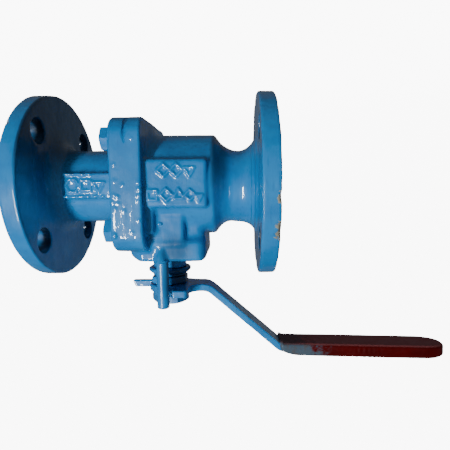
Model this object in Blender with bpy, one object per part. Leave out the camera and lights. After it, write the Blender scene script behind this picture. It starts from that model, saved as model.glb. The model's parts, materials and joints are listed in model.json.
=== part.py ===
"""Two-piece flanged quarter-turn valve, NPS 1 1/2 class 150, with a cranked lever.

Frame: origin at the centre of the body flange's raised face, +X along the bore towards the adaptor
flange, +Z up along the stem. Everything is modelled about the ball's centre, in millimetres, and
placed by an empty that stands on the stem axis. The valve is open at rest, so the lever lies along -X.
"""

import math

import bmesh
import bpy
from mathutils import Matrix, Vector

MM = 0.001
GAP = 0.3  # clearance between neighbouring pieces
MARGIN = 2.0  # how far a cutter runs past the face it opens
SUNK = 2.5  # how deep a boss starts inside the face that carries it

# Pipe flanges and bore
FLANGE_R = 63.5
FLANGE_THICK = 11.6
RAISED_FACE_R = 36.5
RAISED_FACE_THICK = 1.6
BOLT_CIRCLE_R = 49.2
BOLT_HOLE_R = 7.95
END_BORE_R = 19.0
PORT_R = 16.0
BORE_TAPER_X = (40.0, 50.0)  # distances from the ball's centre, the same in both castings

# Stations along the bore, measured from the ball's centre
BODY_FACE_X = -77.2
ADAPTOR_FACE_X = 87.8
PARTING_X = 18.2
BODY_SQUARE_X = 8.3
ADAPTOR_SQUARE_X = 29.1
BARREL_END_X = -34.2
CONE_END_X = -44.0

# Castings
NECK_R = 25.8
NECK_FILLET_R = 10.5
BARREL_R = 35.3
SQUARE_HALF = 43.5
SQUARE_CORNER_R = 14.0
BLOCK_HALF_Y = 24.0
BLOCK_END_X = -27.9
BLOCK_ROOT_Z = 5.0
BLOCK_TOP_Z = 51.3
BLOCK_CORNER_R = 4.0
HEAD_HALF_Y = 28.6  # the thicker top of the block, which carries gland and stop pin
HEAD_BOTTOM_Z = 36.8
LUG_FRONT_Y = -29.0
LUG_X = (-15.3, BODY_SQUARE_X + 1.0)
LUG_Z = (22.0, 41.0)
LUG_CHAMFER = 1.5
PAD_ROOT_Y = -24.0
PAD_FRONT_Y = -38.0
PAD_X = (-31.5, BODY_SQUARE_X + 1.0)
PAD_Z = (-16.3, 15.0)
NECK_PAD_ROOT_Y = -22.0
NECK_PAD_FRONT_Y = -28.2
NECK_PAD_X = (ADAPTOR_SQUARE_X - 1.0, 64.0)
NECK_PAD_HALF_Z = 8.6

# Ball, seats and body joint
BALL_R = 27.0
CAVITY_R = 28.2
SEAT_R = 23.4
SEAT_LIP = 3.0
SEAT_OUTER_X = 26.0
SEAT_INNER_X = 17.6
SPIGOT_R = 30.6
SPIGOT_X = 14.9
GASKET_INNER_R = 29.0
GASKET_X = (13.2, 14.6)
COUNTERBORE_R = 31.0
COUNTERBORE_X = 12.9

# Stem, packing and gland
STEM_R = 8.0
STEM_BORE_R = 8.4
STEM_TOP_Z = 84.8
STEM_CHAMFER = 1.0
TANG_HALF_X = 4.0
TANG_HALF_Y = 9.0
TANG_BOTTOM_Z = 20.8
SLOT_BOTTOM_Z = 20.3
SLOT_HALF_X = 4.3
COLLAR_R = 11.0
COLLAR_Z = (27.7, 31.2)
THRUST_WASHER_Z = (31.5, 33.0)
STEM_WAY_BOTTOM_Z = 22.0
STEM_POCKET_R = 11.5
STEM_POCKET_TOP_Z = 33.3
PACKING_R = 10.5
STUFFING_BOX_R = 10.8
STUFFING_BOX_BOTTOM_Z = 38.0
PACKING_RING_HEIGHT = 3.9
PACKING_RINGS = 3
STUFFING_NECK_R = 12.2
STUFFING_NECK_TOP_Z = 59.2
GLAND_FLANGE_R = 15.5
GLAND_FLANGE_Z = (59.5, 63.7)
GLAND_LOWER_CHAMFER = 0.8
GLAND_RIM_HEIGHT = 1.2
GLAND_UPPER_CHAMFER = 2.4
DISC_SPRING_R = 12.3
DISC_SPRING_Z = 64.0
DISC_SPRING_THICK = 1.0
DISC_SPRING_RISE = 0.5
STEM_NUT_FLATS = 24.6
STEM_NUT_Z = (65.8, 71.2)
HEAD_CHAMFER = 0.6  # how far inside its flats the chamfer of a hexagon starts

# Lever
LEVER_THICK = 5.2
LEVER_BOTTOM_Z = 71.5
ARM_HALF_WIDTH = (9.2, 8.3)  # at the hub and from the first bend on
ARM_TAPER_X = (-23.7, -33.7)
HUB_R = 15.0
FLAT_HALF = 6.0
CRANK_LOW_X = -29.7
CRANK_HIGH = (-82.4, 117.5)
LEVER_END = (-199.2, 120.3)
BEND_R = (8.0, 4.5)  # inside of the lower and the upper bend
STOP_SHOULDER = 4.4  # distance of each stop shoulder from the radial line through the stop pin
STOP_LUG = (-15.8, -26.5)
STOP_LUG_CHAMFER = 1.2
STOP_LUG_ROOT_Y = 1.1
STOP_GUSSET = (-20.8, -10.0)  # where the lug's outer side meets the arm, and where its slope starts
TAIL_END_X = (30.0, 27.8)  # on its lower and its upper face
TAIL_BACK_Y = 9.6
TAIL_ROOT_X = 0.7
GRIP_START_X = -80.3
GRIP_WALL = 2.1
GRIP_POCKET_OVERRUN = 4.0
LOCK_WASHER_Z = (77.0, 79.0)
LOCK_WASHER_R = 13.0
LOCK_WASHER_SLIT_Y = (0.4, 1.9)
LEVER_NUT_FLATS = 24.0
LEVER_NUT_Z = (79.3, 85.2)

# Stop pin
STOP_PIN_R = 4.1
STOP_PIN_Y = -28.2
STOP_PIN_Z = (38.6, 82.6)
STOP_PIN_POINT = 2.0
STOP_PIN_CHAMFER = 1.2

# Body joint bolts
BOLT_R = 4.8
BOLT_POINT = 0.8
BOLT_AT = 29.5
BOLT_END_X = BODY_SQUARE_X + 0.8
BOLT_HEAD_FLATS = 14.3
BOLT_HEAD_HEIGHT = 6.6

# Round pieces: number of flats on a circle
FINE = 48
MIDDLE = 40
COARSE = 24
SMALL = 16

COLOURS = {
    "blue_paint": ((0.060, 0.270, 0.520), 0.0, 0.25),
    "red_grip": ((0.300, 0.010, 0.016), 0.0, 0.40),
    "steel": ((0.550, 0.550, 0.560), 1.0, 0.30),
    "polished_steel": ((0.720, 0.720, 0.730), 1.0, 0.12),
    "white_seal": ((0.850, 0.850, 0.820), 0.0, 0.50),
    "graphite": ((0.060, 0.060, 0.065), 0.2, 0.60),
}


def clear_scene():
    for obj in list(bpy.data.objects):
        bpy.data.objects.remove(obj)


def material(name):
    found = bpy.data.materials.get(name)
    if found:
        return found
    colour, metallic, roughness = COLOURS[name]
    made = bpy.data.materials.new(name)
    made.use_nodes = True
    shader = made.node_tree.nodes["Principled BSDF"]
    shader.inputs["Base Color"].default_value = (*colour, 1.0)
    shader.inputs["Metallic"].default_value = metallic
    shader.inputs["Roughness"].default_value = roughness
    return made


def new_object(name, mesh_builder):
    """An object from a bmesh in millimetres, cleaned and with its faces pointing out."""
    bmesh.ops.remove_doubles(mesh_builder, verts=mesh_builder.verts, dist=1e-4)
    bmesh.ops.dissolve_degenerate(mesh_builder, edges=mesh_builder.edges, dist=1e-4)
    bmesh.ops.recalc_face_normals(mesh_builder, faces=mesh_builder.faces)
    bmesh.ops.scale(mesh_builder, vec=(MM, MM, MM), verts=mesh_builder.verts)
    mesh = bpy.data.meshes.new(name)
    mesh_builder.to_mesh(mesh)
    mesh_builder.free()
    obj = bpy.data.objects.new(name, mesh)
    bpy.context.scene.collection.objects.link(obj)
    return obj


def turned(name, profile, axis="X", sides=FINE):
    """A solid of revolution about the X or Z axis. The profile is a closed outline of (station, radius)."""
    build = bmesh.new()
    if axis == "X":
        points = [build.verts.new((station, 0.0, radius)) for station, radius in profile]
        direction = Vector((1, 0, 0))
    else:
        points = [build.verts.new((radius, 0.0, station)) for station, radius in profile]
        direction = Vector((0, 0, 1))
    edges = []
    for index, (_, radius) in enumerate(profile):
        if radius or profile[index - 1][1]:
            edges.append(build.edges.new((points[index - 1], points[index])))
    bmesh.ops.spin(
        build, geom=points + edges, cent=(0, 0, 0), axis=direction, dvec=(0, 0, 0),
        angle=math.tau, steps=sides, use_merge=True, use_duplicate=False,
    )
    return new_object(name, build)


def prism(name, outline, low, high, axis="Z"):
    """A flat outline pushed from low to high along an axis. The outline runs (x, y), (y, z) or (x, z)."""
    place = {
        "Z": lambda a, b, c: (a, b, c),
        "X": lambda a, b, c: (c, a, b),
        "Y": lambda a, b, c: (a, c, b),
    }[axis]
    build = bmesh.new()
    face = build.faces.new([build.verts.new(place(a, b, low)) for a, b in outline])
    pushed = bmesh.ops.extrude_face_region(build, geom=[face])["geom"]
    moved = [item for item in pushed if isinstance(item, bmesh.types.BMVert)]
    bmesh.ops.translate(build, vec=Vector(place(0, 0, high - low)), verts=moved)
    return new_object(name, build)


def arc(centre, radius, start, end, steps):
    """Points along a circular arc, angles in degrees."""
    angles = [math.radians(start + (end - start) * step / steps) for step in range(steps + 1)]
    return [(centre[0] + radius * math.cos(a), centre[1] + radius * math.sin(a)) for a in angles]


def rectangle(across, up):
    """A rectangle outline from its two ranges."""
    return [(across[0], up[0]), (across[1], up[0]), (across[1], up[1]), (across[0], up[1])]


def rounded_rectangle(low, high, radius, steps=4):
    """A rectangle outline between two corners, with round corners."""
    (x0, y0), (x1, y1) = low, high
    points = arc((x1 - radius, y0 + radius), radius, -90, 0, steps)
    points += arc((x1 - radius, y1 - radius), radius, 0, 90, steps)
    points += arc((x0 + radius, y1 - radius), radius, 90, 180, steps)
    points += arc((x0 + radius, y0 + radius), radius, 180, 270, steps)
    return points


def rod(name, radius, low, high, axis, centre=(0.0, 0.0), sides=COARSE):
    """A plain cylinder between two stations of an axis, with its centre given in the other two."""
    half_step = 180 / sides
    outline = arc(centre, radius, half_step, 360 - half_step, sides - 1)
    return prism(name, outline, low, high, axis)


def combine(target, other, operation):
    """Applies a Boolean between two objects and removes the second."""
    modifier = target.modifiers.new(operation, "BOOLEAN")
    modifier.operation = operation
    modifier.solver = "EXACT"
    modifier.object = other
    bpy.context.view_layer.update()
    graph = bpy.context.evaluated_depsgraph_get()
    result = bpy.data.meshes.new_from_object(target.evaluated_get(graph))
    target.modifiers.remove(modifier)
    target.data = result
    bpy.data.objects.remove(other)
    return target


def add(target, *others):
    for other in others:
        combine(target, other, "UNION")
    return target


def cut(target, *others):
    for other in others:
        combine(target, other, "DIFFERENCE")
    return target


def finish(obj, colour, parent):
    """Gives an object its material and shading and hangs it on its frame."""
    obj.data.materials.clear()
    obj.data.materials.append(material(colour))
    obj.data.shade_smooth()
    obj.data.set_sharp_from_angle(angle=math.radians(35))
    obj.parent = parent
    return obj


def flange_bolt_holes(low, high):
    """Four cutters on the bolt circle, straddling the centre lines."""
    at = BOLT_CIRCLE_R * math.sqrt(0.5)
    return [
        rod("cutter", BOLT_HOLE_R, low, high, "X", (y, z), SMALL)
        for y in (-at, at)
        for z in (-at, at)
    ]


def bolt_places():
    return [(y, z) for y in (-BOLT_AT, BOLT_AT) for z in (-BOLT_AT, BOLT_AT)]


def flange_profile(face, sign, neck_r):
    """Outline of raised face, flange and neck fillet, from the axis out. Sign points into the valve."""
    rim = face + sign * RAISED_FACE_THICK
    back = rim + sign * FLANGE_THICK
    fillet_centre = (back + sign * NECK_FILLET_R, neck_r + NECK_FILLET_R)
    start, end = (180, 270) if sign > 0 else (0, -90)
    points = [(face, 0.0), (face, RAISED_FACE_R), (rim, RAISED_FACE_R), (rim, FLANGE_R)]
    points += [(back, FLANGE_R)]
    points += arc(fillet_centre, NECK_FILLET_R, start, end, 5)
    return points


def square_flange(low, high):
    outline = rounded_rectangle((-SQUARE_HALF, -SQUARE_HALF), (SQUARE_HALF, SQUARE_HALF), SQUARE_CORNER_R)
    return prism("square", outline, low, high, "X")


def make_body(parent):
    """Body casting: flange, neck, barrel, half of the square joint, stem block and its head, lug and pad."""
    profile = flange_profile(BODY_FACE_X, 1, NECK_R)
    inside_square = PARTING_X - SUNK
    beyond_parting = PARTING_X + BLOCK_CORNER_R
    profile += [
        (CONE_END_X, NECK_R), (BARREL_END_X, BARREL_R), (inside_square, BARREL_R), (inside_square, 0.0),
    ]
    body = turned("body", profile)
    beyond_square = beyond_parting + BLOCK_CORNER_R
    block, head = [
        rounded_rectangle((BLOCK_END_X, -half), (beyond_square, half), BLOCK_CORNER_R, 3)
        for half in (BLOCK_HALF_Y, HEAD_HALF_Y)
    ]
    lug_root_y = SUNK - BLOCK_HALF_Y
    lug = prism("lug", [
        (LUG_X[0], lug_root_y), (LUG_X[0], LUG_FRONT_Y + LUG_CHAMFER),
        (LUG_X[0] + LUG_CHAMFER, LUG_FRONT_Y), (LUG_X[1], LUG_FRONT_Y), (LUG_X[1], lug_root_y),
    ], *LUG_Z)
    pad = prism("pad", rectangle(PAD_X, PAD_Z), PAD_FRONT_Y, PAD_ROOT_Y, "Y")
    add(
        body,
        square_flange(BODY_SQUARE_X, beyond_parting),
        prism("block", block, BLOCK_ROOT_Z, BLOCK_TOP_Z - SUNK),
        prism("head", head, HEAD_BOTTOM_Z, BLOCK_TOP_Z),
        lug,
        pad,
        rod("stuffing_neck", STUFFING_NECK_R, BLOCK_TOP_Z - SUNK, STUFFING_NECK_TOP_Z, "Z"),
    )
    outside = BODY_FACE_X - MARGIN
    clear_x = beyond_square + MARGIN
    clear_of_square = 2 * SQUARE_HALF
    inside = turned("inside", [
        (outside, 0.0), (outside, END_BORE_R), (-BORE_TAPER_X[1], END_BORE_R), (-BORE_TAPER_X[0], PORT_R),
        (-SEAT_OUTER_X - GAP, PORT_R), (-SEAT_OUTER_X - GAP, SEAT_R + GAP),
        (-SEAT_INNER_X, SEAT_R + GAP), (-SEAT_INNER_X, CAVITY_R), (COUNTERBORE_X, CAVITY_R),
        (COUNTERBORE_X, COUNTERBORE_R), (PARTING_X, COUNTERBORE_R), (PARTING_X, clear_of_square),
        (clear_x, clear_of_square), (clear_x, 0.0),
    ])
    above_neck = STUFFING_NECK_TOP_Z + MARGIN
    stem_way = turned("stem_way", [
        (STEM_WAY_BOTTOM_Z, 0.0), (STEM_WAY_BOTTOM_Z, STEM_POCKET_R), (STEM_POCKET_TOP_Z, STEM_POCKET_R),
        (STEM_POCKET_TOP_Z, STEM_BORE_R), (STUFFING_BOX_BOTTOM_Z, STEM_BORE_R),
        (STUFFING_BOX_BOTTOM_Z, STUFFING_BOX_R), (above_neck, STUFFING_BOX_R), (above_neck, 0.0),
    ], "Z", COARSE)
    pin_groove = rod(
        "groove", STOP_PIN_R + GAP, STOP_PIN_Z[0] - GAP, BLOCK_TOP_Z + MARGIN, "Z", (0.0, STOP_PIN_Y), COARSE
    )
    tapped = [
        rod("tapped", BOLT_R + GAP, BODY_SQUARE_X - MARGIN, PARTING_X + MARGIN, "X", place, SMALL)
        for place in bolt_places()
    ]
    back = BODY_FACE_X + RAISED_FACE_THICK + FLANGE_THICK
    cut(body, inside, stem_way, pin_groove, *tapped, *flange_bolt_holes(outside, back + MARGIN))
    return finish(body, "blue_paint", parent)


def make_adaptor(parent):
    """Adaptor casting: the other flange, its neck and the other half of the square joint."""
    profile = flange_profile(ADAPTOR_FACE_X, -1, NECK_R)
    face = PARTING_X + GAP
    profile += [(face, NECK_R), (face, SPIGOT_R), (SPIGOT_X, SPIGOT_R), (SPIGOT_X, 0.0)]
    adaptor = turned("adaptor", profile)
    pad_outline = rectangle(NECK_PAD_X, (-NECK_PAD_HALF_Z, NECK_PAD_HALF_Z))
    neck_pad = prism("neck_pad", pad_outline, NECK_PAD_FRONT_Y, NECK_PAD_ROOT_Y, "Y")
    add(adaptor, square_flange(face, ADAPTOR_SQUARE_X), neck_pad)
    outside = ADAPTOR_FACE_X + MARGIN
    inside = turned("inside", [
        (SPIGOT_X - MARGIN, 0.0), (SPIGOT_X - MARGIN, CAVITY_R), (SEAT_INNER_X, CAVITY_R),
        (SEAT_INNER_X, SEAT_R + GAP), (SEAT_OUTER_X + GAP, SEAT_R + GAP), (SEAT_OUTER_X + GAP, PORT_R),
        (BORE_TAPER_X[0], PORT_R), (BORE_TAPER_X[1], END_BORE_R), (outside, END_BORE_R), (outside, 0.0),
    ])
    bolt_holes = [
        rod("hole", BOLT_R + 2 * GAP, face - MARGIN, ADAPTOR_SQUARE_X + MARGIN, "X", place, SMALL)
        for place in bolt_places()
    ]
    back = ADAPTOR_FACE_X - RAISED_FACE_THICK - FLANGE_THICK
    cut(adaptor, inside, *bolt_holes, *flange_bolt_holes(back - MARGIN, outside))
    return finish(adaptor, "blue_paint", parent)


def make_ball(parent):
    """Ball with its port along X and the stem slot across its top."""
    half_port = math.sqrt(BALL_R**2 - PORT_R**2)
    half_angle = math.degrees(math.acos(half_port / BALL_R))
    ball = turned("ball", arc((0.0, 0.0), BALL_R, 180 - half_angle, half_angle, 14), "X", MIDDLE)
    slot = rectangle((-SLOT_HALF_X, SLOT_HALF_X), (-BALL_R, BALL_R))
    cut(ball, prism("slot", slot, SLOT_BOTTOM_Z, BALL_R + MARGIN))
    return finish(ball, "polished_steel", parent)


def make_seat(name, side, parent):
    """A seat ring whose inner corner follows the ball."""
    contact_r = BALL_R + GAP
    lip_r = SEAT_R - SEAT_LIP
    start = math.degrees(math.asin(PORT_R / contact_r))
    end = math.degrees(math.asin(lip_r / contact_r))
    face = arc((0.0, 0.0), contact_r, start, end, 3)
    tip = SEAT_INNER_X + GAP
    outline = [(SEAT_OUTER_X, PORT_R), *face, (tip, lip_r), (tip, SEAT_R), (SEAT_OUTER_X, SEAT_R)]
    seat = turned(name, [(side * station, radius) for station, radius in outline], "X", MIDDLE)
    return finish(seat, "white_seal", parent)


def ring(name, inner, outer, low, high, axis, colour, parent, sides=COARSE):
    made = turned(name, [(low, inner), (low, outer), (high, outer), (high, inner)], axis, sides)
    return finish(made, colour, parent)


def make_stem(parent):
    """Blow-out proof stem: tang, collar, shaft and two flats that drive the lever."""
    stem = turned("stem", [
        (COLLAR_Z[0], 0.0), (COLLAR_Z[0], COLLAR_R), (COLLAR_Z[1], COLLAR_R), (COLLAR_Z[1], STEM_R),
        (STEM_TOP_Z - STEM_CHAMFER, STEM_R), (STEM_TOP_Z, STEM_R - STEM_CHAMFER), (STEM_TOP_Z, 0.0),
    ], "Z", COARSE)
    tang = rectangle((-TANG_HALF_X, TANG_HALF_X), (-TANG_HALF_Y, TANG_HALF_Y))
    add(stem, prism("tang", tang, TANG_BOTTOM_Z, COLLAR_Z[0] + MARGIN))
    clear = STEM_R + MARGIN
    for side in (-1, 1):
        flat = rectangle((-clear, clear), (side * FLAT_HALF, side * clear))
        cut(stem, prism("flat", flat, LEVER_BOTTOM_Z - GAP, STEM_TOP_Z + MARGIN))
    return finish(stem, "steel", parent)


def make_gland(parent):
    """Gland follower: a sleeve that presses the packing, under a chamfered flange."""
    low, high = GLAND_FLANGE_Z
    packed = STUFFING_BOX_BOTTOM_Z + GAP + PACKING_RINGS * (PACKING_RING_HEIGHT + GAP)
    gland = turned("gland_follower", [
        (packed, STEM_BORE_R), (packed, PACKING_R), (low, PACKING_R),
        (low, GLAND_FLANGE_R - GLAND_LOWER_CHAMFER), (low + GLAND_LOWER_CHAMFER, GLAND_FLANGE_R),
        (low + GLAND_LOWER_CHAMFER + GLAND_RIM_HEIGHT, GLAND_FLANGE_R),
        (high, GLAND_FLANGE_R - GLAND_UPPER_CHAMFER), (high, STEM_BORE_R),
    ], "Z", COARSE)
    return finish(gland, "blue_paint", parent)


def make_disc_spring(parent):
    """A coned spring washer under the stem nut."""
    low = DISC_SPRING_Z
    high = low + DISC_SPRING_THICK
    washer = turned("disc_spring", [
        (low, DISC_SPRING_R), (high, DISC_SPRING_R), (high + DISC_SPRING_RISE, STEM_BORE_R),
        (low + DISC_SPRING_RISE, STEM_BORE_R),
    ], "Z", COARSE)
    return finish(washer, "blue_paint", parent)


def hexagon(flats, turn=0.0):
    radius = flats / 2 / math.cos(math.radians(30))
    return arc((0.0, 0.0), radius, turn, turn + 300, 5)


def hexagon_head(name, flats, low, high, turn=0.0):
    """A hexagon about Z whose top corners are chamfered by a cone."""
    head = prism(name, hexagon(flats, turn), low, high)
    top_r = flats / 2 - HEAD_CHAMFER
    corner = flats / 2 / math.cos(math.radians(30))
    below = low - MARGIN
    wide = corner + MARGIN
    cone = turned("cone", [
        (below, 0.0), (below, wide), (high - (wide - top_r) * math.tan(math.radians(30)), wide),
        (high, top_r), (high, 0.0),
    ], "Z", COARSE)
    return combine(head, cone, "INTERSECT")


def hex_nut(name, flats, low, high, bore, turn=0.0):
    nut = hexagon_head(name, flats, low, high, turn)
    return cut(nut, rod("bore", bore, low - MARGIN, high + MARGIN, "Z"))


def bent_line(path, radii, offset, steps=4):
    """A bar's side view at a distance above its underside, with an arc at each inner point of the path."""
    corners = [Vector(point) for point in path]
    along = [(after - before).normalized() for before, after in zip(corners, corners[1:])]
    up = [Vector((-ahead.y, ahead.x)) if ahead.x > 0 else Vector((ahead.y, -ahead.x)) for ahead in along]
    points = [corners[0] + offset * up[0]]
    for corner, before, after, rise, radius in zip(corners[1:-1], along, along[1:], up, radii):
        turn = before.angle_signed(after)
        climbs = turn > 0
        underside_radius = radius + (LEVER_THICK if climbs else 0.0)
        start = corner - before * underside_radius * math.tan(abs(turn) / 2)
        centre = start + (underside_radius if climbs else -underside_radius) * rise
        for step in range(steps + 1):
            swung = Matrix.Rotation(-turn * step / steps, 2)
            points.append(centre + swung @ (start + offset * rise - centre))
    points.append(corners[-1] + offset * up[-1])
    return [(point.x, point.y) for point in points]


def bar(name, path, radii, low_offset, high_offset, half_width):
    outline = bent_line(path, radii, low_offset) + bent_line(path, radii, high_offset)[::-1]
    return prism(name, outline, -half_width, half_width, "Y")


def round_ended(name, start, half_width, end_x):
    """Plan view of a strip along -X: two or more start points on its +Y side, then a half circle."""
    centre_x = end_x + half_width
    edge = [*start, (centre_x, half_width)]
    tip = arc((centre_x, 0.0), half_width, 90, 270, 8)[1:-1]
    below, above = LEVER_BOTTOM_Z - HUB_R, LEVER_END[1] + HUB_R
    return prism(name, [*edge, *tip, *[(x, -y) for x, y in edge[::-1]]], below, above)


def make_lever(parent):
    """Cranked flat bar with a hub that carries the two stop shoulders."""
    end = (LEVER_END[0] - MARGIN, LEVER_END[1])
    path = [(0.0, LEVER_BOTTOM_Z), (CRANK_LOW_X, LEVER_BOTTOM_Z), CRANK_HIGH, end]
    lever = bar("lever", path, BEND_R, 0.0, LEVER_THICK, HUB_R)
    wide, narrow = ARM_HALF_WIDTH
    taper = [(MARGIN, wide), (ARM_TAPER_X[0], wide), (ARM_TAPER_X[1], narrow)]
    combine(lever, round_ended("plan", taper, narrow, LEVER_END[0]), "INTERSECT")
    low, high = LEVER_BOTTOM_Z, LEVER_BOTTOM_Z + LEVER_THICK
    lug_x, lug_y = STOP_LUG
    stop_lug = prism("stop_lug", [
        (-STOP_SHOULDER, STOP_LUG_ROOT_Y), (-STOP_SHOULDER, lug_y + STOP_LUG_CHAMFER),
        (-STOP_SHOULDER - STOP_LUG_CHAMFER, lug_y), (lug_x + STOP_LUG_CHAMFER, lug_y),
        (lug_x, lug_y + STOP_LUG_CHAMFER), (lug_x, STOP_GUSSET[1]), (STOP_GUSSET[0], STOP_LUG_ROOT_Y),
    ], low, high)
    tail = prism("tail", [
        (TAIL_ROOT_X, low), (TAIL_END_X[0], low), (TAIL_END_X[1], high), (TAIL_ROOT_X, high),
    ], STOP_SHOULDER, TAIL_BACK_Y, "Y")
    add(lever, rod("hub", HUB_R, low, high, "Z"), stop_lug, tail)
    hole = rod("hole", STEM_R + GAP, low - MARGIN, high + MARGIN, "Z")
    flats = rectangle((-HUB_R, HUB_R), (-FLAT_HALF - GAP, FLAT_HALF + GAP))
    cut(lever, combine(hole, prism("flats", flats, low - GAP, high + GAP), "INTERSECT"))
    return finish(lever, "blue_paint", parent)


def make_grip(parent):
    """Dipped plastic sleeve whose mouth is just below the upper bend and whose end is closed."""
    end = (LEVER_END[0] - 2 * MARGIN, LEVER_END[1])
    path = [(CRANK_LOW_X, LEVER_BOTTOM_Z), CRANK_HIGH, end]

    def shell(name, wall, mouth_x):
        half_width = ARM_HALF_WIDTH[1] + wall
        made = bar(name, path, BEND_R[1:], -wall, LEVER_THICK + wall, HUB_R)
        plan = round_ended("plan", [(mouth_x, half_width)], half_width, LEVER_END[0] - wall)
        return combine(made, plan, "INTERSECT")

    grip = shell("grip_sleeve", GRIP_WALL + GAP, GRIP_START_X)
    cut(grip, shell("pocket", GAP, GRIP_START_X + GRIP_POCKET_OVERRUN))
    return finish(grip, "red_grip", parent)


def make_lock_washer(parent):
    """Spring lock washer with its cut."""
    low, high = LOCK_WASHER_Z
    washer = turned("lever_lock_washer", [
        (low, STEM_BORE_R), (low, LOCK_WASHER_R), (high, LOCK_WASHER_R), (high, STEM_BORE_R),
    ], "Z", COARSE)
    slit = rectangle((STEM_BORE_R / 2, LOCK_WASHER_R + MARGIN), LOCK_WASHER_SLIT_Y)
    cut(washer, prism("slit", slit, low - MARGIN, high + MARGIN))
    return finish(washer, "blue_paint", parent)


def make_stop_pin(parent):
    """Round bar let into the front of the block's head."""
    low, high = STOP_PIN_Z
    pin = turned("stop_pin", [
        (low, 0.0), (low, STOP_PIN_R - STOP_PIN_POINT), (low + STOP_PIN_POINT, STOP_PIN_R),
        (high - STOP_PIN_CHAMFER, STOP_PIN_R), (high, STOP_PIN_R - STOP_PIN_CHAMFER), (high, 0.0),
    ], "Z", COARSE)
    finish(pin, "blue_paint", parent)
    pin.location = Vector((0.0, STOP_PIN_Y, 0.0)) * MM
    return pin


def make_bolts(parent):
    """Four hexagon bolts that pull the adaptor onto the body, with a flat of each head facing up."""
    seat = ADAPTOR_SQUARE_X + GAP
    shank_x = seat - BOLT_END_X
    for number, (y, z) in enumerate(bolt_places(), 1):
        bolt = hexagon_head("body_bolt_%d" % number, BOLT_HEAD_FLATS, 0.0, BOLT_HEAD_HEIGHT)
        shank = turned("shank", [
            (-shank_x, 0.0), (-shank_x, BOLT_R - BOLT_POINT), (BOLT_POINT - shank_x, BOLT_R),
            (MARGIN, BOLT_R), (MARGIN, 0.0),
        ], "Z", SMALL)
        add(bolt, shank)
        bolt.rotation_euler = (0.0, math.radians(90), 0.0)
        bolt.location = Vector((seat, y, z)) * MM
        finish(bolt, "blue_paint", parent)


def main():
    clear_scene()
    centre = bpy.data.objects.new("valve_centre", None)
    lever_axis = bpy.data.objects.new("lever_turn_axis", None)
    ball_axis = bpy.data.objects.new("ball_turn_axis", None)
    for empty in (centre, lever_axis, ball_axis):
        bpy.context.scene.collection.objects.link(empty)
    centre.location = (-BODY_FACE_X * MM, 0.0, 0.0)
    lever_axis.parent = centre
    ball_axis.parent = centre

    make_body(centre)
    make_adaptor(centre)
    make_seat("seat_ring_body", -1, centre)
    make_seat("seat_ring_adaptor", 1, centre)
    ring("body_gasket", GASKET_INNER_R, SPIGOT_R, *GASKET_X, "X", "graphite", centre)
    ring("thrust_washer", STEM_BORE_R, COLLAR_R, *THRUST_WASHER_Z, "Z", "white_seal", centre)
    for number in range(PACKING_RINGS):
        low = STUFFING_BOX_BOTTOM_Z + GAP + number * (PACKING_RING_HEIGHT + GAP)
        ring(
            f"packing_ring_{number + 1}", STEM_BORE_R, PACKING_R, low, low + PACKING_RING_HEIGHT, "Z",
            "graphite", centre,
        )
    make_gland(centre)
    make_stop_pin(centre)
    make_bolts(centre)

    make_ball(ball_axis)

    make_stem(lever_axis)
    make_disc_spring(lever_axis)
    stem_nut = hex_nut("stem_nut", STEM_NUT_FLATS, *STEM_NUT_Z, STEM_BORE_R, 30.0)
    finish(stem_nut, "blue_paint", lever_axis)
    make_lever(lever_axis)
    make_grip(lever_axis)
    make_lock_washer(lever_axis)
    lever_nut = hex_nut("lever_nut", LEVER_NUT_FLATS, *LEVER_NUT_Z, STEM_BORE_R)
    finish(lever_nut, "blue_paint", lever_axis)


main()
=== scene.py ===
"""Looks of the flanged quarter-turn valve: thick blue enamel brushed over castings, and a dipped red grip.

Shapes are distance fields in millimetres about the ball's centre. Each field is turned into a mesh whose
points lie on the surface, so that casting fillets, paint edges and raised foundry marks are real geometry.
"""

import json
import math
from functools import partial

import bpy
import bmesh
import numpy as np
from mathutils import Matrix, Vector


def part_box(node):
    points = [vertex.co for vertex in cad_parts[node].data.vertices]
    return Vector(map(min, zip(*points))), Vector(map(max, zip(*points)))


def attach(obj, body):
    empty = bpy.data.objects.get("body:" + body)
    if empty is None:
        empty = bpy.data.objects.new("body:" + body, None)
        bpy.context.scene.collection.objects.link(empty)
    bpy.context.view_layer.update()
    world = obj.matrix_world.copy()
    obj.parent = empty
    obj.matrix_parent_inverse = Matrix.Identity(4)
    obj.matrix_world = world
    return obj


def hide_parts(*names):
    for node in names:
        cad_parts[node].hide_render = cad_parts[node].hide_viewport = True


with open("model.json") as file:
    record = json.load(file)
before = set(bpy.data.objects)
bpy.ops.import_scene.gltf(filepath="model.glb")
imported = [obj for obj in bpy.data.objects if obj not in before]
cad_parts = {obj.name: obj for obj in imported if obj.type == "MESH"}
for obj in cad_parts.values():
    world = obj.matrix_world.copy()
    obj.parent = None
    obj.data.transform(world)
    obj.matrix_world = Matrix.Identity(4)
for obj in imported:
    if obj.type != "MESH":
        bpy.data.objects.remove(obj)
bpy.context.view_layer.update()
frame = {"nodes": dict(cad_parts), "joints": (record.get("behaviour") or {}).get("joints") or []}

MM = 0.001
JOINTS = {joint["name"]: joint for joint in frame["joints"]}
CENTRE = np.array(JOINTS["ball_turn"]["pos_m"], float)
COARSE = 1.0


def node_box(node):
    """A CAD node's lowest and highest corners, in millimetres about the ball's centre."""
    low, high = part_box(node)
    return (np.array(low) - CENTRE) / MM, (np.array(high) - CENTRE) / MM


# ---- Dimensions: outer sizes come from the frame, the rest are named here ----

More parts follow.
